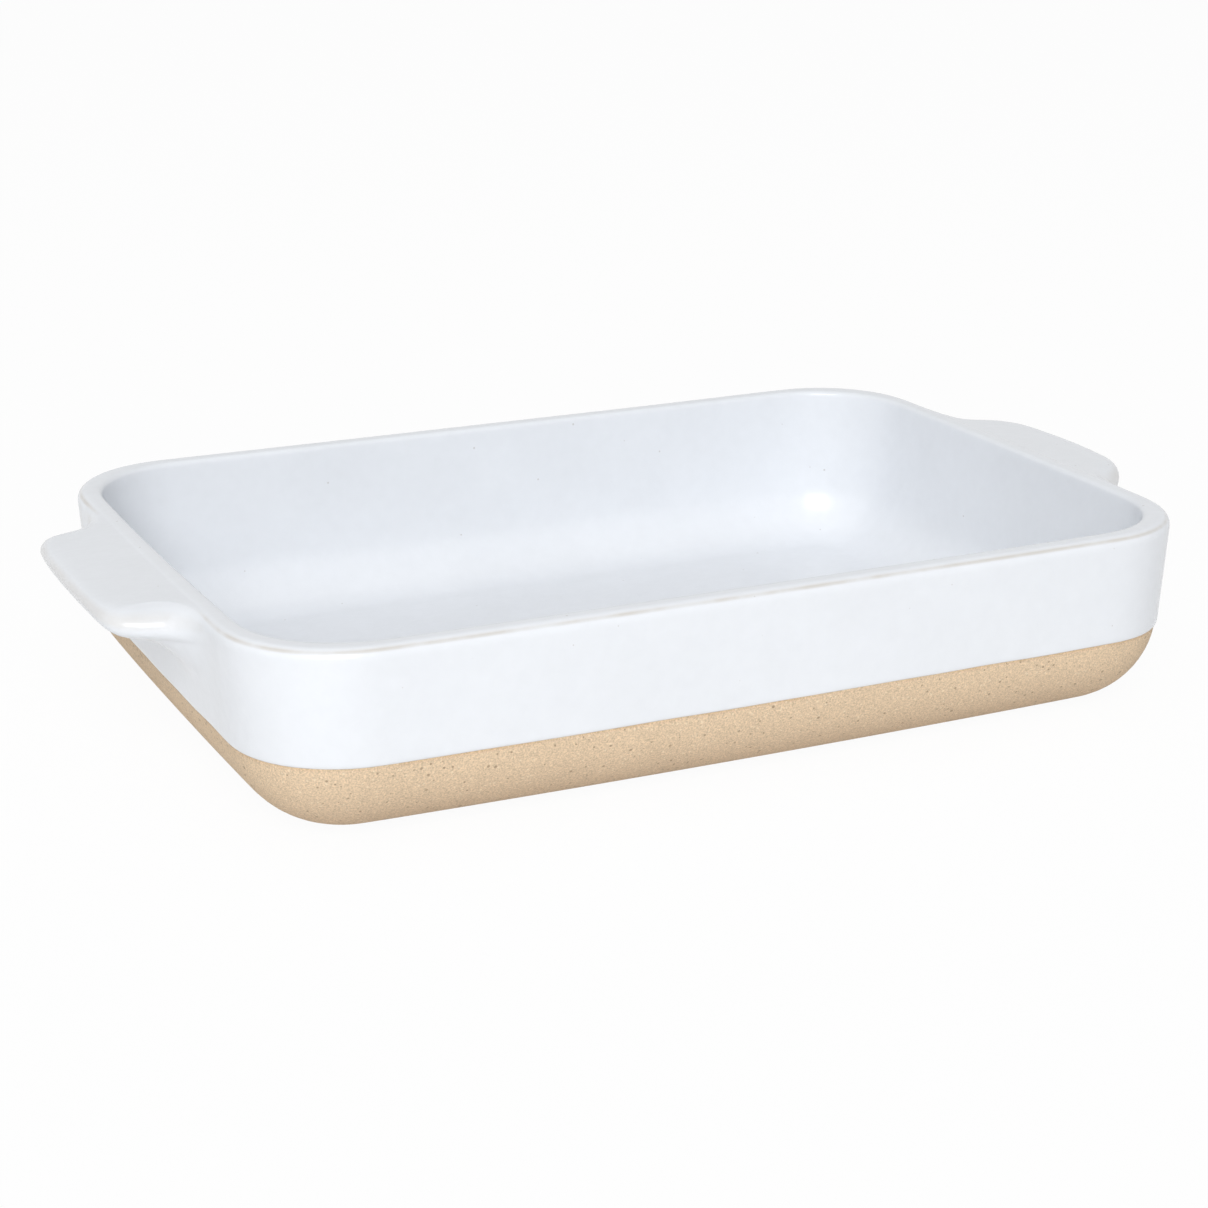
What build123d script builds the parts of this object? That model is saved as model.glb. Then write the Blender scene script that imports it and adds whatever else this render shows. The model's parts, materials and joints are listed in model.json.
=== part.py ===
# Lasagna dish: a deep rectangular stoneware baker with a lug handle at each end.
# A white glaze covers the inside, the rim, the handles and the outside down to a level dip line.
# Millimetres. The origin is the middle of the flat underside, X runs along the dish and Z is up.

from build123d import *
import os
from math import radians, tan

# Glazed dish, outside
rim_length = 343.0
rim_width = 239.0
dish_height = 67.0
rim_corner_radius = 39.0
wall_draft = 4.0
base_edge_radius = 32.0
end_bow = 1.5
rim_side_bow = 0.5
base_side_bow = 3.0

# Walls, floor and rim
rim_thickness = 8.0
floor_thickness = 8.0
cavity_draft = 5.5
cavity_edge_radius = 22.0
rim_outer_rounding = 2.5
rim_inner_rounding = 4.0

# Glaze
glaze_thickness = 0.6
dip_line_level = 28.4

# Lug handles
handle_reach = 26.5
handle_side_gap = 66.5
handle_thickness = 12.5
handle_top_step = 0.6
handle_top_slope = 2.0
handle_cove_height = 12.0
handle_seat_depth = 2.5
handle_tongue = 5.0

# Half of the lug's outline, from the wall to the tip, as shares of its reach and half width
outline_shares = [
    (0.00, 1.34),
    (0.10, 1.15),
    (0.20, 1.04),
    (0.36, 0.965),
    (0.62, 0.88),
    (0.80, 0.77),
    (0.93, 0.50),
    (1.00, 0.00),
]

# Sections down through the lug: shares of its thickness, its reach and its half width
section_shares = [
    (0.00, 0.87, 0.95),
    (0.08, 0.97, 0.99),
    (0.24, 1.00, 1.00),
    (0.44, 0.98, 0.99),
    (0.58, 0.87, 0.97),
    (0.70, 0.62, 0.94),
    (0.84, 0.36, 0.92),
    (1.00, 0.20, 0.90),
]
cove_foot_share = 0.02

# Room that a cutting shape runs past what it cuts
overrun = 20.0


def lean(rise, draft):
    # how far a drafted wall moves sideways over a rise
    return rise * tan(radians(draft))


def bowed_plan(length, width, corner, side_bow, level):
    # a rectangle with bowed sides and round corners, at a level above the underside
    end = length / 2
    side = width / 2
    corner_x = end - end_bow
    corner_y = side - side_bow
    with BuildSketch(Plane.XY.offset(level)) as plan:
        with BuildLine():
            ThreePointArc((-corner_x, -corner_y), (0, -side), (corner_x, -corner_y))
            ThreePointArc((corner_x, -corner_y), (end, 0), (corner_x, corner_y))
            ThreePointArc((corner_x, corner_y), (0, side), (-corner_x, corner_y))
            ThreePointArc((-corner_x, corner_y), (-end, 0), (-corner_x, -corner_y))
        make_face()
        fillet(plan.vertices(), radius=corner)
    return plan.sketch


def vessel(depth):
    # the dish as a filled block, its surface at a depth under the glazed one
    inward = lean(dish_height, wall_draft)
    corner = rim_corner_radius - depth
    base_length = rim_length - 2 * (inward + depth)
    base_width = rim_width - 2 * (inward + depth) + 2 * (base_side_bow - rim_side_bow)
    low = depth - glaze_thickness
    high = dish_height - depth
    with BuildPart() as block:
        add(bowed_plan(base_length, base_width, corner - inward, base_side_bow, low))
        add(bowed_plan(rim_length - 2 * depth, rim_width - 2 * depth, corner, rim_side_bow, high))
        loft(ruled=True)
        fillet(block.faces().sort_by(Axis.Z)[0].edges(), radius=base_edge_radius - depth)
        fillet(block.faces().sort_by(Axis.Z)[-1].edges(), radius=rim_outer_rounding - depth)
    return block.part


def cavity(depth):
    # the hollow that holds the food, as a block, its surface at a depth under the glazed one
    low = floor_thickness - depth
    high = dish_height - depth
    inward = lean(dish_height - floor_thickness, cavity_draft)
    corner = rim_corner_radius - rim_thickness + depth
    mouth_length = rim_length - 2 * rim_thickness + 2 * depth
    mouth_width = rim_width - 2 * rim_thickness + 2 * depth
    floor_width = mouth_width - 2 * inward + 2 * (base_side_bow - rim_side_bow)
    with BuildPart() as block:
        add(bowed_plan(mouth_length - 2 * inward, floor_width, corner - inward, base_side_bow, low))
        add(bowed_plan(mouth_length, mouth_width, corner, rim_side_bow, high))
        loft(ruled=True)
        fillet(block.faces().sort_by(Axis.Z)[0].edges(), radius=cavity_edge_radius + depth)
    return block.part


def dish(depth):
    # the hollow dish without its handles
    with BuildPart() as shell:
        add(vessel(depth))
        add(cavity(depth), mode=Mode.SUBTRACT)
        rim = shell.faces().filter_by(Plane.XY).sort_by(Axis.Z)[-1]
        fillet(rim.inner_wires().edges(), radius=rim_inner_rounding - depth)
    return shell.part


def lug_outline(reach, half_width, plane):
    # one section of the lug: a bell shape in front of a strip that lies inside the wall
    strip = half_width * outline_shares[0][1]
    one_side = [(reach * out, half_width * across) for out, across in outline_shares]
    other_side = [(out, -across) for out, across in reversed(one_side[:-1])]
    with BuildSketch(plane) as section:
        with BuildLine():
            Spline(one_side + other_side, tangents=[(0, -1), (0, -1)])
            Polyline((0, -strip), (-handle_tongue, -strip), (-handle_tongue, strip), (0, strip))
        make_face()
    return section.sketch


def handle(depth):
    # the lug at the +X end, with a tongue that runs on into the wall that it grows from
    seat = rim_length / 2 - handle_seat_depth - depth
    reach = handle_seat_depth + handle_reach
    half_width = rim_width / 2 - handle_side_gap - depth
    thickness = handle_thickness - 2 * depth
    top = dish_height - handle_top_step - depth
    sections = [(thickness * drop, reach * out, half_width * across) for drop, out, across in section_shares]
    cove_foot = thickness + handle_cove_height
    sections.append((cove_foot, reach * cove_foot_share, half_width * section_shares[-1][2]))
    with BuildPart() as lug:
        for drop, section_reach, section_half_width in sections:
            level = Plane((seat - lean(drop, wall_draft), 0, top - drop))
            add(lug_outline(section_reach, section_half_width, level.rotated((0, handle_top_slope, 0))))
        loft(ruled=True)
    return lug.part


filled_clay = vessel(glaze_thickness)
glazed_lug = handle(0)

# Below the dip line the glaze leaves the clay bare
with BuildPart() as bare_zone:
    with BuildSketch(Plane.XY.offset(-overrun)):
        Rectangle(rim_length + overrun, rim_width + overrun)
    extrude(amount=dip_line_level + overrun)
    add(filled_clay, mode=Mode.SUBTRACT)

# Fired clay: floor and walls in one
with BuildPart() as stoneware_body:
    add(dish(glaze_thickness))
stoneware_body.part.label = "stoneware_body"

# Fired clay: the lugs that stand on the end walls
with BuildPart() as right_handle:
    add(handle(glaze_thickness))
    add(filled_clay, mode=Mode.SUBTRACT)
right_handle.part.label = "right_handle"

with BuildPart() as left_handle:
    add(right_handle.part.mirror(Plane.YZ))
left_handle.part.label = "left_handle"

# White glaze, one glassy coat over everything above the dip line
with BuildPart() as white_glaze:
    add(dish(0))
    add(glazed_lug)
    add(glazed_lug.mirror(Plane.YZ))
    add(cavity(0), mode=Mode.SUBTRACT)
    add(stoneware_body.part, mode=Mode.SUBTRACT)
    add(right_handle.part, mode=Mode.SUBTRACT)
    add(left_handle.part, mode=Mode.SUBTRACT)
    add(bare_zone.part, mode=Mode.SUBTRACT)
white_glaze.part.label = "white_glaze"

os.makedirs("parts", exist_ok=True)
export_step(stoneware_body.part, "parts/stoneware_body.step")
export_step(right_handle.part, "parts/right_handle.step")
export_step(left_handle.part, "parts/left_handle.step")
export_step(white_glaze.part, "parts/white_glaze.step")

for piece in (stoneware_body, right_handle, left_handle, white_glaze):
    print(piece.part.label, len(piece.part.solids()), round(piece.part.volume, 1), piece.part.is_valid)
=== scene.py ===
# Lasagna dish: white satin glaze over a tan stoneware body, with a lug handle at each end.
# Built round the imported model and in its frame: metres, X along the dish, Z up, standing on zero.

import json
import math

import bmesh
import bpy
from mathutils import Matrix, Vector, noise

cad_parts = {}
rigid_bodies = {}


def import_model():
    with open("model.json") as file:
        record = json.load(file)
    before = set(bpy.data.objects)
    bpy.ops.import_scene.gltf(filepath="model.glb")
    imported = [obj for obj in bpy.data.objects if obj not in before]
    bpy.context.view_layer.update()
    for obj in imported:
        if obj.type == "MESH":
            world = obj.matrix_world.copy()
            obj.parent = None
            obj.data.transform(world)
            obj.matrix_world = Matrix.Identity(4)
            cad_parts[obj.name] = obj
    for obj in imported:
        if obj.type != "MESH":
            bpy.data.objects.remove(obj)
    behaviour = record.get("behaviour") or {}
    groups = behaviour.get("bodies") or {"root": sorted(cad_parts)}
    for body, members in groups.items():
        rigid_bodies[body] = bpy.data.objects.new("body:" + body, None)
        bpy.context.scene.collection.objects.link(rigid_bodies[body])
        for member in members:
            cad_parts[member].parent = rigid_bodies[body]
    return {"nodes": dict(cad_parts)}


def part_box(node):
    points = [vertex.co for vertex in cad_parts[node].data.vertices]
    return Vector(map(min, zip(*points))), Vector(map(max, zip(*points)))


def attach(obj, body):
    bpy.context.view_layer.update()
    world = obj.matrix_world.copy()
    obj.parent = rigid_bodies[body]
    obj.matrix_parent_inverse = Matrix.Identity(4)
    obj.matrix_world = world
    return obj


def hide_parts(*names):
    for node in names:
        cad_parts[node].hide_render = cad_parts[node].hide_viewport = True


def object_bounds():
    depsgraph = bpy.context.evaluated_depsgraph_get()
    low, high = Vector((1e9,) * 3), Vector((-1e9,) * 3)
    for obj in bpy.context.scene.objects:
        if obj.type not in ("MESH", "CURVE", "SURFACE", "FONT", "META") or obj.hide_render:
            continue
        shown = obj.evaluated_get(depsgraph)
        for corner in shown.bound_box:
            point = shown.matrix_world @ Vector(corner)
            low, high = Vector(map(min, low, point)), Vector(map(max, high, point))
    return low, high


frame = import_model()
cadLow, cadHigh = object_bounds()
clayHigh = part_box("stoneware_body")[1]
mm = 0.001
print("frame loaded:", sorted(frame["nodes"]))


# Shapes

# the glazed dish without its lugs, as insets from the widest outline and levels over the table
dishForm = {
    "height": cadHigh.z,
    "coatDepth": cadHigh.z - clayHigh.z,
    "wallDraft": 4.0,               # degrees
    "endBow": 1.5 * mm,
    "rimSideBow": 0.5 * mm,
    "baseSideBow": 3.0 * mm,
    "cornerRadius": 39.0 * mm,
    "hollowCornerExtra": 4.0 * mm,  # the hollow's corners are rounder than the outside asks for
    "hollowCornerFade": 5.0 * mm,   # the way in over which they get so
    "floorCorner": 9.0 * mm,        # the tightest that they get
    "rimWidth": 8.0 * mm,
    "rimOuterRound": 3.6 * mm,
    "rimInnerRound": 1.9 * mm,
    "hollowDraft": 5.5,             # degrees
    "hollowRound": 22.0 * mm,
    "floorLevel": 8.0 * mm,
    "baseRound": 32.0 * mm,
    "endDips": {-1.0: 1.1 * mm, 1.0: 0.3 * mm},     # how far the rim sinks at the middle of each end
    "sideDip": 0.5 * mm,
    "dipLine": 28.4 * mm,
    "edgeRipple": 0.35 * mm,        # how far the glaze's edge strays from a level line
    "edgeRippleScale": 42.0,
    "sideRoom": 0.2 * mm,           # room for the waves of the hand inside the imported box
    "endColumns": 14,               # mesh columns in half an end, a corner and half a side
    "cornerColumns": 8,
    "sideColumns": 12,
}
dishForm["halfLength"] = clayHigh.x + dishForm["coatDepth"]
dishForm["halfWidth"] = clayHigh.y + dishForm["coatDepth"] - dishForm["sideRoom"]
columnsPerQuarter = dishForm["endColumns"] + dishForm["cornerColumns"] + dishForm["sideColumns"]
columnCount = 4 * columnsPerQuarter

# the slight waves of a hand-finished pot, none at the underside
handWaves = {
    "depth": 0.22 * mm,
    "uprightShare": 0.5,
    "scale": 14.0,
    "startLevel": 2.0 * mm,
    "fadeIn": 20.0 * mm,
    "places": (Vector((3.1, 7.7, 1.3)), Vector((12.4, 6.2, 9.3)), Vector((5.9, 15.2, 4.6))),
}

# the lug at each end; its rows run from the wall under it, round its nose and back over it to the rim.
# A row is a share of the way out or an inset, and its depth under the top, both at the tip and then both
# at the foot, where the lug is thicker and softer. The last number is where the row lies on the plain wall.
lugForm = {
    "seatDepth": 2.5 * mm,
    "topStep": 0.35 * mm,           # its top lies this far under the rim's crest
    "tipRoom": 0.15 * mm,           # room at the left one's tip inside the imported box
    "columns": 13,
    "footFrom": 4.0,                # the columns over which the tip's numbers turn into the foot's
    "footColumns": 6.0,
    "fullDepth": 11.0 * mm,         # how far the lug stands out before its insets count in full
    "fadeIn": 5.0 * mm,
    "outlineSteps": 20,
    "outlineTail": 10.0 * mm,
    "clayGap": 0.65 * mm,
    "tongue": 4.5 * mm,
    "under": [(0.00, 25.0, 0.00, 25.0, 25.0), (0.03, 21.2, 0.12, 21.5, 21.5),
              (0.09, 17.2, 0.30, 18.3, 18.3), (0.19, 13.4, 0.50, 15.7, 15.4),
              (0.36, 10.6, 0.70, 13.6, 12.8), (0.62, 8.6, 0.88, 12.0, 10.5)],
    "nose": [(7.5, 7.5, 3.4, 11.1, 8.5), (3.6, 6.7, 1.9, 10.4, 6.9), (1.3, 5.6, 0.8, 9.3, 5.6),
             (0.25, 4.2, 0.15, 7.6, 4.5), (0.05, 2.7, 0.35, 5.3, 3.7), (0.75, 1.3, 2.3, 3.1, 3.0),
             (2.2, 0.4, 6.0, 1.4, 2.5), (4.2, 0.05, 11.5, 0.25, 2.1)],
    "top": [(0.75, 0.0, 0.75, 0.0, 1.75), (0.48, 0.0, 0.48, 0.0, 1.4),
            (0.22, 0.0, 0.22, 0.0, 1.0), (0.06, 0.0, 0.06, 0.0, 0.6)],
    # by a row's place on the plain wall, how far the glaze draws back there and how much painted shade lies
    # along the rounding, on the rim and on the lug's nose
    "thinOnRim": {1.75: 0.1, 1.4: 0.75, 1.0: 1.0, 0.6: 0.35},
    "thinOnNose": {3.7: 0.5, 3.0: 0.5},
}
# the two were shaped by hand and differ a little; the first is the left one
lugSides = {
    -1.0: {
        "reach": cadHigh.x - lugForm["tipRoom"] - dishForm["halfLength"],
        "halfWidth": 53.5 * mm,
        "topSlope": 2.0,            # degrees
        "frontShares": [(1.00, 0.00), (0.992, 0.58), (0.93, 0.87), (0.75, 0.96),
                        (0.42, 1.00), (0.22, 1.06), (0.11, 1.18), (0.00, 1.46)],
        "backShares": [(1.00, 0.00), (0.965, 0.53), (0.87, 0.83), (0.67, 0.93),
                       (0.40, 0.995), (0.22, 1.06), (0.11, 1.18), (0.00, 1.46)],
    },
    1.0: {
        "reach": 24.0 * mm,
        "halfWidth": 52.5 * mm,
        "topSlope": 1.2,
        "frontShares": [(1.00, 0.00), (0.93, 0.50), (0.80, 0.70), (0.62, 0.83),
                        (0.36, 0.955), (0.20, 1.04), (0.10, 1.17), (0.00, 1.44)],
        "backShares": [(1.00, 0.00), (0.945, 0.53), (0.83, 0.75), (0.65, 0.88),
                       (0.38, 0.985), (0.21, 1.06), (0.10, 1.19), (0.00, 1.44)],
    },
}


def ease(t):                        # 0 to 1 with a soft start and end
    t = min(max(t, 0.0), 1.0)
    return t * t * (3.0 - 2.0 * t)


def mix(a, b, t):
    return a + (b - a) * t


def columnPlace(column):            # which columns of a quarter, and the quarter's signs
    folded = column % (2 * columnsPerQuarter)
    if folded > columnsPerQuarter:
        folded = 2 * columnsPerQuarter - folded
    signX = 1.0 if column <= columnsPerQuarter or column >= 3 * columnsPerQuarter else -1.0
    signY = 1.0 if column <= 2 * columnsPerQuarter else -1.0
    return folded, signX, signY


def ringPoint(column, inset, level, inside=False):
    # a point of the bowed, round-cornered outline, without its signs
    form = dishForm
    folded = columnPlace(column)[0]
    sideBow = mix(form["baseSideBow"], form["rimSideBow"], level / form["height"])
    a = form["halfLength"] - inset
    b = form["halfWidth"] - inset + sideBow - form["rimSideBow"]
    rounder = 0.0
    if inside:
        rounder = form["hollowCornerExtra"] * ease((inset - form["rimOuterRound"]) / form["hollowCornerFade"])
    corner = max(form["cornerRadius"] - inset + rounder, form["floorCorner"])
    centreX = a - form["endBow"] * ((b - corner) / b) ** 2 - corner
    centreY = b - sideBow * ((a - corner) / a) ** 2 - corner
    if folded <= form["endColumns"]:
        y = centreY * folded / form["endColumns"]
        return a - form["endBow"] * (y / b) ** 2, y
    if folded <= form["endColumns"] + form["cornerColumns"]:
        turn = math.radians(90.0) * (folded - form["endColumns"]) / form["cornerColumns"]
        return centreX + corner * math.cos(turn), centreY + corner * math.sin(turn)
    x = centreX * (columnsPerQuarter - folded) / form["sideColumns"]
    return x, b - sideBow * (x / a) ** 2


def outerInset(level):              # of the outside wall and the rim's outer rounding
    form = dishForm
    start = form["height"] - form["rimOuterRound"]
    if level <= start:
        return (start - level) * math.tan(math.radians(form["wallDraft"]))
    rise = min((level - start) / form["rimOuterRound"], 1.0)
    return form["rimOuterRound"] * (1.0 - math.sqrt(1.0 - rise * rise))


def outerNormal(level):             # inset and level parts
    form = dishForm
    start = form["height"] - form["rimOuterRound"]
    if level <= start:
        draft = math.radians(form["wallDraft"])
        return -math.cos(draft), -math.sin(draft)
    rise = min((level - start) / form["rimOuterRound"], 1.0)
    return -math.sqrt(1.0 - rise * rise), rise


def rimDip(x, y, level):            # the rim is highest at its corners
    form = dishForm
    dip = form["endDips"][math.copysign(1.0, x)] * (x / form["halfLength"]) ** 2
    dip *= 1.0 - (y / form["halfWidth"]) ** 2
    dip += form["sideDip"] * (1.0 - (x / form["halfLength"]) ** 2)
    return max(dip, 0.0) * ease((level - form["dipLine"]) / (form["height"] - form["dipLine"]))


def lugOutline(side, shares):
    # points spread evenly along half of the lug's outline, each with the way in from its edge
    reach = side["reach"] + lugForm["seatDepth"]
    points = [Vector((reach * out, side["halfWidth"] * across)) for out, across in shares]
    mirrored = Vector((points[1].x, -points[1].y))
    points = [mirrored] + points + [points[-1] + Vector((0.0, lugForm["outlineTail"]))]
    line = []
    for a, b, c, d in zip(points, points[1:], points[2:], points[3:]):
        for step in range(lugForm["outlineSteps"]):
            t = step / lugForm["outlineSteps"]
            line.append(0.5 * (2.0 * b + (c - a) * t + (2.0 * a - 5.0 * b + 4.0 * c - d) * t * t
                               + (3.0 * b - a - 3.0 * c + d) * t ** 3))
    line.append(points[-2])
    lengths = [0.0]
    for a, b in zip(line, line[1:]):
        lengths.append(lengths[-1] + (b - a).length)
    spread = []
    for column in range(lugForm["columns"] + 1):
        wanted = lengths[-1] * column / lugForm["columns"]
        at = max(i for i, length in enumerate(lengths) if length <= wanted + 1e-9)
        at = min(at, len(line) - 2)
        t = (wanted - lengths[at]) / (lengths[at + 1] - lengths[at])
        along = (line[at + 1] - line[at]).normalized()
        spread.append((line[at].lerp(line[at + 1], t), Vector((-along.y, along.x))))
    spread[0] = (spread[0][0], Vector((-1.0, 0.0)))
    return spread


lugEdges = {(signX, signY): lugOutline(side, side[half]) for signX, side in lugSides.items()
            for signY, half in ((-1.0, "frontShares"), (1.0, "backShares"))}


def lugPoint(column, row, level):
    # where a row of the lug passes a column, or None past the lug's foot; without its signs
    folded, signX, signY = columnPlace(column)
    if folded >= lugForm["columns"]:
        return None
    seat = dishForm["halfLength"] - lugForm["seatDepth"]
    edge, inward = lugEdges[signX, signY][folded]
    top = dishForm["height"] - lugForm["topStep"]
    rootX, rootY = ringPoint(column, outerInset(level), level)
    rootTopX, rootTopY = ringPoint(column, outerInset(top), top)
    toFoot = ease((folded - lugForm["footFrom"]) / lugForm["footColumns"])
    tip = Vector((seat + edge.x, edge.y))
    standing = ease((tip - Vector((rootTopX, rootTopY))).length / lugForm["fullDepth"])

    def spot(numbers):
        return mix(numbers[0], numbers[2], toFoot), mix(numbers[1], numbers[3], toFoot) * mm

    kind, numbers = row
    out, drop = spot(numbers)
    if kind == "nose":
        place = tip + inward * out * mm * standing
    elif kind == "top":
        inset, drop = spot(lugForm["nose"][-1])
        place = Vector((rootTopX, rootTopY)).lerp(tip + inward * inset * mm * standing, out)
        drop *= out
    else:
        inset = spot(lugForm["nose"][0])[0]
        place = Vector((rootX, rootY)).lerp(tip + inward * inset * mm * standing, out)
    place.x = max(place.x, rootX)
    out = max(place.x - rootTopX, 0.0)
    lugLevel = top - drop - out * math.tan(math.radians(lugSides[signX]["topSlope"]))
    weight = ease((tip.x - rootTopX) / lugForm["fadeIn"])
    return Vector((place.x, place.y, mix(level, lugLevel, weight))), weight


def handWobble(point):
    # noise.noise gives the same waves in every session; noise_vector doesn't unless it is seeded
    strength = handWaves["depth"] * ease((point.z - handWaves["startLevel"]) / handWaves["fadeIn"])
    waves = [noise.noise(point * handWaves["scale"] + place) for place in handWaves["places"]]
    return Vector((waves[0], waves[1], handWaves["uprightShare"] * waves[2])) * strength


def placeRow(verts, layers, row, depth):
    # moves a ring of vertices onto a row of the form, at a depth under the glaze
    inset, level, normalIn, normalUp = row["inset"], row["level"], row["normal"][0], row["normal"][1]
    for vert in verts:
        column = vert[layers["column"]]
        signX, signY = columnPlace(column)[1:]
        sunk = depth + row.get("sunk", 0.0)
        x, y = ringPoint(column, inset - normalIn * sunk, level, row.get("inside", False))
        point = Vector((x, y, level - normalUp * sunk))
        dip = rimDip(signX * x, y, level)
        vert[layers["thin"]] = row.get("thin", 0.0)
        if row.get("lug") and depth == 0.0:
            onLug = lugPoint(column, row["lug"], level)
            if onLug:
                point, weight = onLug
                dip = mix(dip, rimDip(signX * x, y, dishForm["height"]), weight)
                vert[layers["thin"]] = mix(row.get("thin", 0.0), row.get("lugThin", 0.0), weight)
        point.z -= dip
        point.x *= signX
        point.y *= signY
        point += handWobble(point)
        point.z = min(point.z, dishForm["height"] - depth)
        if row.get("ripple"):
            point.z += row["ripple"] * noise.noise(point * dishForm["edgeRippleScale"])
        vert.co = point


def outerRow(level, **extra):
    return dict(inset=outerInset(level), level=level, normal=outerNormal(level), **extra)


def lugRows():
    # from the wall under the lug up to the rim
    rows = []
    for kind in ("under", "nose", "top"):
        for numbers in lugForm[kind]:
            drop = numbers[-1]
            rows.append(outerRow(dishForm["height"] - drop * mm, lug=(kind, numbers),
                                 thin=lugForm["thinOnRim"].get(drop, 0.0),
                                 lugThin=lugForm["thinOnNose"].get(drop, 0.0)))
    return rows


def rimRows():
    form = dishForm
    rows = [outerRow(form["height"] - lugForm["topStep"])]
    for turn in (76.0, 90.0):
        t = math.radians(turn)
        rows.append(dict(inset=form["rimOuterRound"] * (1.0 - math.cos(t)),
                         level=form["height"] - form["rimOuterRound"] * (1.0 - math.sin(t)),
                         normal=(-math.cos(t), math.sin(t))))
    start = form["rimWidth"] - form["rimInnerRound"]
    for turn in (0.0, 24.0, 46.0, 67.0, 90.0 - form["hollowDraft"]):
        t = math.radians(turn)
        rows.append(dict(inset=start + form["rimInnerRound"] * math.sin(t),
                         level=form["height"] - form["rimInnerRound"] * (1.0 - math.cos(t)),
                         normal=(math.sin(t), math.cos(t)), inside=True))
    return rows


def hollowRows():
    # down the inside wall, round its foot and onto the floor
    form = dishForm
    draft = math.radians(form["hollowDraft"])
    wallTop = form["height"] - form["rimInnerRound"] * (1.0 - math.sin(draft))
    wallTopInset = form["rimWidth"] - form["rimInnerRound"] * (1.0 - math.cos(draft))
    centreLevel = form["floorLevel"] + form["hollowRound"]
    centreInset = wallTopInset + (wallTop - centreLevel) * math.tan(draft)
    centreInset += form["hollowRound"] / math.cos(draft)
    wallFoot = centreLevel - form["hollowRound"] * math.sin(draft)
    rows = []
    for share in (0.12, 0.35, 0.6, 0.85):
        level = mix(wallTop, wallFoot, share)
        rows.append(dict(inset=wallTopInset + (wallTop - level) * math.tan(draft), level=level,
                         normal=(math.cos(draft), math.sin(draft)), inside=True))
    for share in (0.0, 0.13, 0.27, 0.41, 0.55, 0.69, 0.83, 0.93, 1.0):
        t = mix(draft, math.radians(90.0), share)
        rows.append(dict(inset=centreInset - form["hollowRound"] * math.cos(t),
                         level=centreLevel - form["hollowRound"] * math.sin(t),
                         normal=(math.cos(t), math.sin(t)), inside=True))
    for more in (3.0, 8.0, 16.0):
        rows.append(dict(inset=centreInset + more * mm, level=form["floorLevel"],
                         normal=(0.0, 1.0), inside=True))
    return rows


def glazeEdgeRows():
    # the coat thins to nothing at the dip line, just above it a faint roll where it gathered
    line = dishForm["dipLine"]
    edge = [(-0.10, 0.70), (0.05, 0.42), (0.35, 0.14), (0.9, -0.02), (2.0, -0.06), (4.5, 0.0), (8.5, 0.0)]
    ripple = dishForm["edgeRipple"]
    return [outerRow(line + up * mm, sunk=depth * mm, ripple=ripple) for up, depth in edge]


def clayFootRows():
    # from the flat underside round the base's edge and up the wall, in the clay's own surface
    form = dishForm
    draft = math.radians(form["wallDraft"])
    radius = form["baseRound"]
    wallAtCentre = outerInset(radius)
    centreInset = wallAtCentre + radius / math.cos(draft)
    rows = [dict(inset=centreInset + more * mm, level=0.0, normal=(0.0, 0.0)) for more in (30.0, 14.0, 5.0)]
    for share in (0.0, 0.04, 0.1, 0.2, 0.32, 0.45, 0.58, 0.71, 0.84, 0.95):
        t = mix(math.radians(90.0), draft, share)
        level = radius - (radius - form["coatDepth"]) * math.sin(t) - form["coatDepth"]
        rows.append(dict(inset=centreInset - (radius - form["coatDepth"]) * math.cos(t),
                         level=max(level, 0.0), normal=(0.0, 0.0)))
    return rows


def shapedRings(rows, depth):
    # one ring of vertices, extruded row by row
    bm = bmesh.new()
    layers = {"column": bm.verts.layers.int.new("column"), "thin": bm.verts.layers.float.new("thinGlaze")}
    ring = bmesh.ops.create_circle(bm, cap_ends=False, radius=1.0, segments=columnCount)["verts"]
    for vert in ring:
        turn = math.atan2(vert.co.y, vert.co.x) / math.tau
        vert[layers["column"]] = round(turn * columnCount) % columnCount
    edges = list(bm.edges)
    firstEdges = edges
    placeRow(ring, layers, rows[0], depth)
    for row in rows[1:]:
        grown = bmesh.ops.extrude_edge_only(bm, edges=edges)["geom"]
        verts = [part for part in grown if isinstance(part, bmesh.types.BMVert)]
        edges = [part for part in grown if isinstance(part, bmesh.types.BMEdge)
                 and all(vert in verts for vert in part.verts)]
        placeRow(verts, layers, row, depth)
    return bm, layers, firstEdges, edges


def fillFlat(bm, layers, edges):
    # closes a flat ring with a grid from one long side to the other
    corner = dishForm["endColumns"] + dishForm["cornerColumns"] // 2
    longEdges = [edge for edge in edges
                 if all(columnPlace(vert[layers["column"]])[0] >= corner for vert in edge.verts)]
    bmesh.ops.grid_fill(bm, edges=longEdges, use_smooth=True, use_interp_simple=True)


def faceOutwards(bm):
    bmesh.ops.recalc_face_normals(bm, faces=bm.faces)
    highest = max(bm.faces, key=lambda face: face.calc_center_median().z)
    if highest.normal.z < 0.0:
        bmesh.ops.reverse_faces(bm, faces=bm.faces)


def finishMesh(bm, name):
    bmesh.ops.remove_doubles(bm, verts=bm.verts, dist=0.01 * mm)
    faceOutwards(bm)
    for face in bm.faces:
        face.smooth = True
    mesh = bpy.data.meshes.new(name)
    bm.to_mesh(mesh)
    bm.free()
    piece = bpy.data.objects.new(name, mesh)
    bpy.context.scene.collection.objects.link(piece)
    soften = piece.modifiers.new("soft form", "SUBSURF")
    soften.levels = soften.render_levels = 1
    return piece


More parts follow.
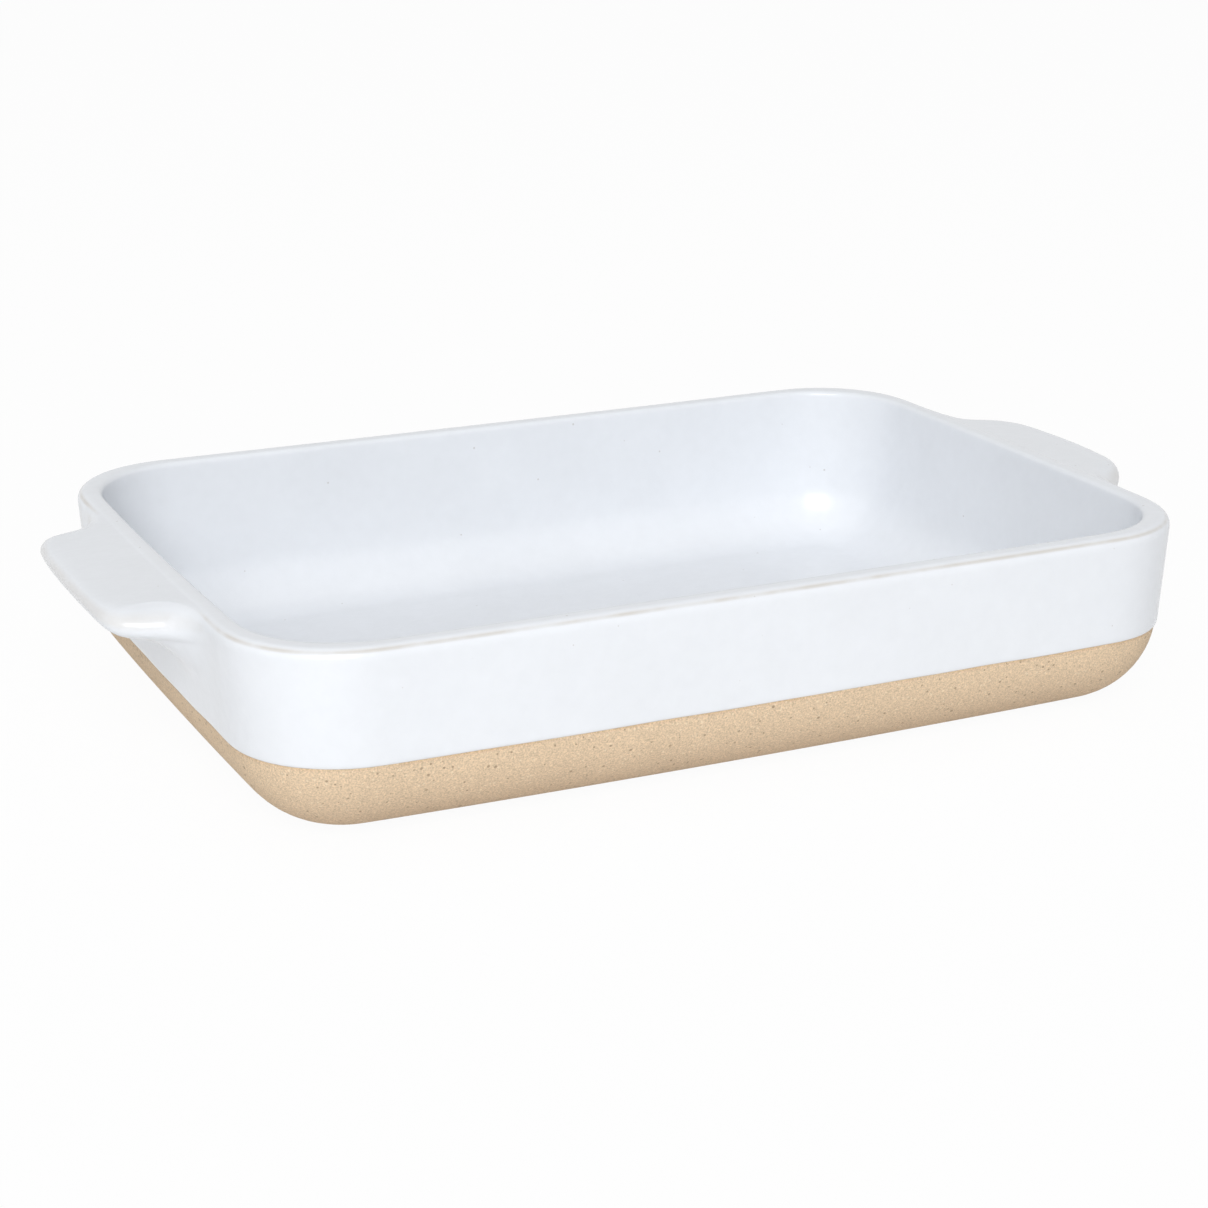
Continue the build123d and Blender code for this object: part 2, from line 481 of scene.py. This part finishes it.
def makeGlazeCoat():
    rows = glazeEdgeRows() + lugRows() + rimRows() + hollowRows()
    bm, layers, _, lastEdges = shapedRings(rows, 0.0)
    fillFlat(bm, layers, lastEdges)
    coat = finishMesh(bm, "glazeCoat")
    skin = coat.modifiers.new("coat thickness", "SOLIDIFY")
    skin.thickness = dishForm["coatDepth"]
    skin.offset = -1.0
    return coat


def makeClayBody():
    wall = [outerRow(dishForm["dipLine"] + up * mm) for up in (3.5, 12.0, 22.0, 31.0, 35.5)]
    rows = clayFootRows() + wall + rimRows() + hollowRows()
    bm, layers, firstEdges, lastEdges = shapedRings(rows, dishForm["coatDepth"])
    fillFlat(bm, layers, firstEdges)
    fillFlat(bm, layers, lastEdges)
    return finishMesh(bm, "clayBody")


def makeClayLug(name, signX):
    # the clay inside one lug: the coat's own rows, drawn in under the glaze and closed in the wall
    bm = shapedRings(lugRows(), 0.0)[0]
    foot = lugSides[signX]["halfWidth"] * lugSides[signX]["frontShares"][-1][1]
    inWall = signX * (dishForm["halfLength"] - lugForm["tongue"])
    for place, outwards in (((inWall, 0.0, 0.0), (signX, 0.0, 0.0)),
                            ((0.0, foot, 0.0), (0.0, -1.0, 0.0)), ((0.0, -foot, 0.0), (0.0, 1.0, 0.0))):
        bmesh.ops.bisect_plane(bm, geom=bm.verts[:] + bm.edges[:] + bm.faces[:], dist=0.001 * mm,
                               plane_co=place, plane_no=outwards, clear_inner=True)
    faceOutwards(bm)
    bm.normal_update()
    drawn = [(vert, vert.co - vert.normal * lugForm["clayGap"]) for vert in bm.verts]
    for vert, place in drawn:
        vert.co = place
    openEdges = [edge for edge in bm.edges if edge.is_boundary]
    grown = bmesh.ops.extrude_edge_only(bm, edges=openEdges)["geom"]
    for part in grown:
        if isinstance(part, bmesh.types.BMVert):
            part.co.x = inWall
    openEdges = [edge for edge in bm.edges if edge.is_boundary]
    bmesh.ops.holes_fill(bm, edges=openEdges, sides=0)
    return finishMesh(bm, name)


glazeCoat = makeGlazeCoat()
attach(glazeCoat, "root")
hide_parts("white_glaze")
print("glaze coat:", len(glazeCoat.data.polygons), "faces before smoothing")

clayBody = makeClayBody()
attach(clayBody, "root")
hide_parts("stoneware_body")
print("clay body:", len(clayBody.data.polygons), "faces before smoothing")

clayLugs = []
for name, node, signX in (("leftLugClay", "left_handle", -1.0), ("rightLugClay", "right_handle", 1.0)):
    lug = makeClayLug(name, signX)
    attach(lug, "root")
    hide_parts(node)
    clayLugs.append(lug)
print("clay lugs:", [len(lug.data.polygons) for lug in clayLugs], "faces before smoothing")


# Finishes

def newMaterial(name):
    material = bpy.data.materials.new(name)
    material.use_nodes = True
    nodes = material.node_tree.nodes
    return material, nodes, material.node_tree.links, nodes["Principled BSDF"]


def newGroup(name, inputs, outputs):
    # a shader node group with its sockets; inputs are name, kind and starting value
    group = bpy.data.node_groups.new(name, "ShaderNodeTree")
    for socketName, kind, value in inputs:
        socket = group.interface.new_socket(name=socketName, in_out="INPUT", socket_type=kind)
        if value is not None:
            socket.default_value = value
    for socketName, kind in outputs:
        group.interface.new_socket(name=socketName, in_out="OUTPUT", socket_type=kind)
    given, result = group.nodes.new("NodeGroupInput"), group.nodes.new("NodeGroupOutput")
    return group, group.nodes, group.links, given, result


def feed(links, socket, value):
    # a link where the value is a socket, else the number itself
    if isinstance(value, bpy.types.NodeSocket):
        links.new(value, socket)
    else:
        socket.default_value = value


def maths(nodes, links, operation, a, b=0.0, c=0.0):
    node = nodes.new("ShaderNodeMath")
    node.operation = operation
    for socket, value in zip(node.inputs, (a, b, c)):
        feed(links, socket, value)
    return node.outputs[0]


def remap(nodes, links, value, low, high, toLow=0.0, toHigh=1.0):
    node = nodes.new("ShaderNodeMapRange")
    node.interpolation_type = "SMOOTHSTEP"
    for name, number in (("Value", value), ("From Min", low), ("From Max", high),
                         ("To Min", toLow), ("To Max", toHigh)):
        feed(links, node.inputs[name], number)
    return node.outputs["Result"]


def blend(nodes, links, share, a, b, kind="MIX"):
    node = nodes.new("ShaderNodeMix")
    node.data_type = "RGBA"
    node.blend_type = kind
    for socket, value in ((node.inputs[0], share), (node.inputs[6], a), (node.inputs[7], b)):
        feed(links, socket, value)
    return node.outputs[2]


def useGroup(nodes, links, group, **values):
    node = nodes.new("ShaderNodeGroup")
    node.node_tree = group
    for name, value in values.items():
        feed(links, node.inputs[name], value)
    return node


def makeSpeckles():
    # scattered round spots; the cells that hold one and the spots' sizes are random
    group, nodes, links, given, result = newGroup("scattered spots", [
        ("Vector", "NodeSocketVector", None), ("Scale", "NodeSocketFloat", 100.0),
        ("Radius", "NodeSocketFloat", 0.1), ("Share", "NodeSocketFloat", 0.5)], [("Mask", "NodeSocketFloat")])
    cells = nodes.new("ShaderNodeTexVoronoi")
    links.new(given.outputs["Vector"], cells.inputs["Vector"])
    links.new(given.outputs["Scale"], cells.inputs["Scale"])
    chance = nodes.new("ShaderNodeSeparateColor")
    links.new(cells.outputs["Color"], chance.inputs[0])
    size = maths(nodes, links, "MULTIPLY", given.outputs["Radius"],
                 maths(nodes, links, "MULTIPLY_ADD", chance.outputs[1], 0.8, 0.6))
    core = maths(nodes, links, "MULTIPLY", size, 0.6)
    spot = remap(nodes, links, cells.outputs["Distance"], core, size, 1.0, 0.0)
    held = maths(nodes, links, "LESS_THAN", chance.outputs[0], given.outputs["Share"])
    links.new(maths(nodes, links, "MULTIPLY", spot, held), result.inputs["Mask"])
    return group


def makeClouding():
    # soft lighter and darker clouds, as a value round one to multiply a colour by
    group, nodes, links, given, result = newGroup("soft clouding", [
        ("Vector", "NodeSocketVector", None), ("Scale", "NodeSocketFloat", 30.0),
        ("Strength", "NodeSocketFloat", 0.05)], [("Shade", "NodeSocketFloat"), ("Cloud", "NodeSocketFloat")])
    cloud = nodes.new("ShaderNodeTexNoise")
    cloud.inputs["Detail"].default_value = 3.0
    cloud.inputs["Roughness"].default_value = 0.55
    links.new(given.outputs["Vector"], cloud.inputs["Vector"])
    links.new(given.outputs["Scale"], cloud.inputs["Scale"])
    even = maths(nodes, links, "SUBTRACT", cloud.outputs["Fac"], 0.5)
    strength = maths(nodes, links, "MULTIPLY", given.outputs["Strength"], 4.0)
    swing = maths(nodes, links, "MULTIPLY", even, strength)
    links.new(maths(nodes, links, "ADD", swing, 1.0), result.inputs["Shade"])
    links.new(cloud.outputs["Fac"], result.inputs["Cloud"])
    return group


speckles = makeSpeckles()
clouding = makeClouding()

# sizes are in millimetres
glazeLook = {
    "colour": (0.785, 0.81, 0.848, 1.0),
    "thinColour": (0.54, 0.49, 0.42, 1.0),      # the clay showing through where the glaze draws back, darkened as painted shade along the rim's rounding
    "thinStrength": 0.65,
    "thinBreaks": 16.0,
    "cloudSize": 34.0,
    "cloudStrength": 0.018,
    "fineCloudSize": 5.0,
    "fineCloudStrength": 0.012,
    "pinholeColour": (0.42, 0.38, 0.35, 1.0),
    "pinholeSpacing": 8.0,
    "pinholeRadius": 0.05,                      # share of the spacing
    "pinholeShare": 0.5,
    "pinholeStrength": 0.4,
    "roughness": 0.25,
    "roughnessSwing": 0.015,
    "peelSize": 3.2,                            # the orange peel of a satin glaze
    "peelDepth": 0.05,
}


def makeGlaze():
    look = glazeLook
    material, nodes, links, shader = newMaterial("white glaze")
    place = nodes.new("ShaderNodeTexCoord").outputs["Object"]
    clouds = useGroup(nodes, links, clouding, Vector=place, Scale=1000.0 / look["cloudSize"],
                      Strength=look["cloudStrength"])
    fine = useGroup(nodes, links, clouding, Vector=place, Scale=1000.0 / look["fineCloudSize"],
                    Strength=look["fineCloudStrength"])
    shade = maths(nodes, links, "MULTIPLY", clouds.outputs["Shade"], fine.outputs["Shade"])
    colour = blend(nodes, links, 1.0, look["colour"], shade, "MULTIPLY")

    # a thin broken beige line on the rim's rounding and the lug's nose: partly the glaze drawing back, partly
    # painted shade
    drawn = nodes.new("ShaderNodeAttribute")
    drawn.attribute_name = "thinGlaze"
    broken = nodes.new("ShaderNodeTexNoise")
    broken.inputs["Scale"].default_value = 1000.0 / look["thinBreaks"]
    broken.inputs["Detail"].default_value = 4.0
    links.new(place, broken.inputs["Vector"])
    line = maths(nodes, links, "MULTIPLY", drawn.outputs["Fac"],
                 remap(nodes, links, broken.outputs["Fac"], 0.32, 0.62, 0.4, 1.0))
    colour = blend(nodes, links, maths(nodes, links, "MULTIPLY", line, look["thinStrength"]),
                   colour, look["thinColour"])

    pinholes = useGroup(nodes, links, speckles, Vector=place, Scale=1000.0 / look["pinholeSpacing"],
                        Radius=look["pinholeRadius"], Share=look["pinholeShare"]).outputs["Mask"]
    colour = blend(nodes, links, maths(nodes, links, "MULTIPLY", pinholes, look["pinholeStrength"]),
                   colour, look["pinholeColour"])
    links.new(colour, shader.inputs["Base Color"])

    swing = look["roughnessSwing"]
    links.new(remap(nodes, links, clouds.outputs["Cloud"], 0.3, 0.7,
                    look["roughness"] - swing, look["roughness"] + swing), shader.inputs["Roughness"])

    peel = nodes.new("ShaderNodeTexNoise")
    peel.inputs["Scale"].default_value = 1000.0 / look["peelSize"]
    peel.inputs["Detail"].default_value = 2.0
    links.new(place, peel.inputs["Vector"])
    height = maths(nodes, links, "SUBTRACT", peel.outputs["Fac"], pinholes)
    bump = nodes.new("ShaderNodeBump")
    bump.inputs["Distance"].default_value = look["peelDepth"] * mm
    links.new(height, bump.inputs["Height"])
    links.new(bump.outputs["Normal"], shader.inputs["Normal"])
    return material


# sizes are in millimetres
clayLook = {
    "colour": (0.70, 0.545, 0.38, 1.0),
    # the clay darkened low down: painted shade near the table
    "footShadeColour": (0.65, 0.505, 0.36, 1.0),
    "toastedShadowColour": (0.60, 0.39, 0.22, 1.0),   # a warm, darker line just under the glaze's edge: toasted clay and painted shadow of the glaze's step
    "toastedShadowWidth": 1.6,
    "toastedShadowStrength": 0.5,
    "cloudSize": 26.0,
    "cloudStrength": 0.03,
    "grainSize": 0.55,
    "grainStrength": 0.3,
    "lightGrain": (0.90, 0.78, 0.60, 1.0),
    "lightSpacing": 1.5,
    "lightRadius": 0.26,                        # share of the spacing
    "lightShare": 0.5,
    "lightStrength": 0.45,
    "darkGrain": (0.26, 0.18, 0.12, 1.0),
    "darkSpacing": 2.4,
    "darkRadius": 0.2,
    "darkShare": 0.5,
    "darkStrength": 0.6,
    "darkDepth": 0.8,                           # how far a dark grain sinks, beside the tooth
    "footShadeFadeLow": 2.0,                         # levels between which the painted shade at the foot fades out
    "footShadeFadeHigh": 24.0,
    "roughness": 0.86,
    "specular": 0.3,
    "tooth": 0.12,                              # depth of the bare clay's surface
}


def makeClay():
    look = clayLook
    material, nodes, links, shader = newMaterial("fired clay")
    place = nodes.new("ShaderNodeTexCoord").outputs["Object"]
    level = nodes.new("ShaderNodeSeparateXYZ")
    links.new(place, level.inputs[0])
    # painted shade: the clay grows darker towards the foot
    toFoot = remap(nodes, links, level.outputs["Z"],
                   look["footShadeFadeLow"] * mm, look["footShadeFadeHigh"] * mm, 1.0, 0.0)
    colour = blend(nodes, links, toFoot, look["colour"], look["footShadeColour"])

    clouds = useGroup(nodes, links, clouding, Vector=place, Scale=1000.0 / look["cloudSize"],
                      Strength=look["cloudStrength"])
    grain = useGroup(nodes, links, clouding, Vector=place, Scale=1000.0 / look["grainSize"],
                     Strength=look["grainStrength"])
    line = dishForm["dipLine"]
    # painted shadow under the glaze's edge, warm like toasted clay
    toastedAndShadowed = maths(nodes, links, "MULTIPLY",
                    remap(nodes, links, level.outputs["Z"], line - look["toastedShadowWidth"] * mm, line, 0.0, 1.0),
                    remap(nodes, links, clouds.outputs["Cloud"], 0.35, 0.6, 0.3, 1.0))
    colour = blend(nodes, links, maths(nodes, links, "MULTIPLY", toastedAndShadowed, look["toastedShadowStrength"]),
                   colour, look["toastedShadowColour"])
    shade = maths(nodes, links, "MULTIPLY", clouds.outputs["Shade"], grain.outputs["Shade"])
    colour = blend(nodes, links, 1.0, colour, shade, "MULTIPLY")

    light = useGroup(nodes, links, speckles, Vector=place, Scale=1000.0 / look["lightSpacing"],
                     Radius=look["lightRadius"], Share=look["lightShare"]).outputs["Mask"]
    dark = useGroup(nodes, links, speckles, Vector=place, Scale=1000.0 / look["darkSpacing"],
                    Radius=look["darkRadius"], Share=look["darkShare"]).outputs["Mask"]
    for grains, name in ((light, "light"), (dark, "dark")):
        colour = blend(nodes, links, maths(nodes, links, "MULTIPLY", grains, look[name + "Strength"]),
                       colour, look[name + "Grain"])
    links.new(colour, shader.inputs["Base Color"])
    shader.inputs["Roughness"].default_value = look["roughness"]
    shader.inputs["Specular IOR Level"].default_value = look["specular"]

    sunk = maths(nodes, links, "MULTIPLY", dark, look["darkDepth"])
    height = maths(nodes, links, "SUBTRACT", grain.outputs["Cloud"], sunk)
    bump = nodes.new("ShaderNodeBump")
    bump.inputs["Distance"].default_value = look["tooth"] * mm
    links.new(height, bump.inputs["Height"])
    links.new(bump.outputs["Normal"], shader.inputs["Normal"])
    return material


glaze = makeGlaze()
clay = makeClay()
glazeCoat.data.materials.append(glaze)
for piece in [clayBody] + clayLugs:
    piece.data.materials.append(clay)
print("finishes made")


# Floor, light and camera

stageLook = {
    "floorSize": 12.0,
    "floorColour": (0.88, 0.88, 0.88, 1.0),
    "floorRoughness": 0.9,
    "floorSpecular": 0.2,
    "paper": 0.95,                  # how much of the floor's look is plain white paper
    "skyLight": 0.5,
    "skyLightRight": 0.32,          # the studio is darker on the dish's right
    "lightsAimAt": (0.0, 0.0, 0.03),
}


def seenDirectly(nodes, links):
    # one for the camera, for mirrored rays and for rays through glass, nought for the light that falls
    path = nodes.new("ShaderNodeLightPath")
    seen = maths(nodes, links, "MAXIMUM", path.outputs["Is Camera Ray"], path.outputs["Is Transmission Ray"])
    return maths(nodes, links, "MAXIMUM", seen, path.outputs["Is Glossy Ray"])


def makeWorld():
    world = bpy.data.worlds.new("studio")
    world.use_nodes = True
    nodes, links = world.node_tree.nodes, world.node_tree.links
    background = nodes["Background"]
    background.inputs["Color"].default_value = (1.0, 1.0, 1.0, 1.0)
    towards = nodes.new("ShaderNodeSeparateXYZ")
    links.new(nodes.new("ShaderNodeTexCoord").outputs["Generated"], towards.inputs[0])
    sky = remap(nodes, links, towards.outputs["X"], -0.2, 0.9,
                stageLook["skyLight"], stageLook["skyLightRight"])
    strength = maths(nodes, links, "MAXIMUM", sky, seenDirectly(nodes, links))
    links.new(strength, background.inputs["Strength"])
    bpy.context.scene.world = world


def makeFloor():
    bm = bmesh.new()
    bmesh.ops.create_grid(bm, x_segments=1, y_segments=1, size=stageLook["floorSize"] / 2)
    mesh = bpy.data.meshes.new("floor")
    bm.to_mesh(mesh)
    bm.free()
    floor = bpy.data.objects.new("floor", mesh)
    bpy.context.scene.collection.objects.link(floor)
    material, nodes, links, shader = newMaterial("paper floor")
    shader.inputs["Base Color"].default_value = stageLook["floorColour"]
    shader.inputs["Roughness"].default_value = stageLook["floorRoughness"]
    shader.inputs["Specular IOR Level"].default_value = stageLook["floorSpecular"]
    paper = nodes.new("ShaderNodeEmission")
    paper.inputs["Strength"].default_value = 1.0
    direct = seenDirectly(nodes, links)
    both = nodes.new("ShaderNodeMixShader")
    links.new(maths(nodes, links, "MULTIPLY", direct, stageLook["paper"]), both.inputs["Fac"])
    links.new(shader.outputs["BSDF"], both.inputs[1])
    links.new(paper.outputs["Emission"], both.inputs[2])
    links.new(both.outputs["Shader"], nodes["Material Output"].inputs["Surface"])
    mesh.materials.append(material)


def aimed(thing, position, target):
    thing.location = position
    thing.rotation_euler = (Vector(target) - Vector(position)).to_track_quat("-Z", "Y").to_euler()
    bpy.context.scene.collection.objects.link(thing)
    return thing


softBoxes = {
    "key": {"azimuth": -27.0, "elevation": 34.0, "distance": 3.6, "size": 2.0, "power": 86.0},
    "top": {"azimuth": 0.0, "elevation": 88.0, "distance": 1.8, "size": 1.4, "power": 1.5},
}


def makeLights():
    for name, box in softBoxes.items():
        light = bpy.data.lights.new(name, "AREA")
        light.shape = "SQUARE"
        light.size = box["size"]
        light.energy = box["power"]
        a, e = math.radians(box["azimuth"]), math.radians(box["elevation"])
        out = Vector((math.sin(a) * math.cos(e), -math.cos(a) * math.cos(e), math.sin(e)))
        aimed(bpy.data.objects.new(name, light), out * box["distance"], stageLook["lightsAimAt"])


photoView = {
    "width": 1208,                  # pixels of the photograph, which is square
    "azimuth": -25.246,             # degrees
    "elevation": 18.074,
    "distance": 928.233 * mm,
    "target": (0.0, 0.0, 30.0 * mm),
    "targetPixel": (614.261, 594.742),
    "focalPixels": 2599.149,
    "sensor": 36.0,
}


def makeCamera():
    view = photoView
    a, e = math.radians(view["azimuth"]), math.radians(view["elevation"])
    back = Vector((math.sin(a) * math.cos(e), -math.cos(a) * math.cos(e), math.sin(e)))
    right = Vector((0.0, 0.0, 1.0)).cross(back).normalized()
    up = back.cross(right)
    offX = (view["targetPixel"][0] - view["width"] / 2) / view["focalPixels"] * view["distance"]
    offY = (view["width"] / 2 - view["targetPixel"][1]) / view["focalPixels"] * view["distance"]
    lens = bpy.data.cameras.new("photo view")
    lens.sensor_width = view["sensor"]
    lens.lens = view["focalPixels"] / view["width"] * view["sensor"]
    lens.clip_start = 0.01
    camera = bpy.data.objects.new("photo view", lens)
    camera.location = Vector(view["target"]) + back * view["distance"] - right * offX - up * offY
    camera.rotation_euler = back.to_track_quat("Z", "Y").to_euler()
    bpy.context.scene.collection.objects.link(camera)
    bpy.context.scene.camera = camera


makeWorld()
makeFloor()
makeLights()
makeCamera()
bpy.context.scene.view_settings.view_transform = "Standard"
print("floor, light and camera set")
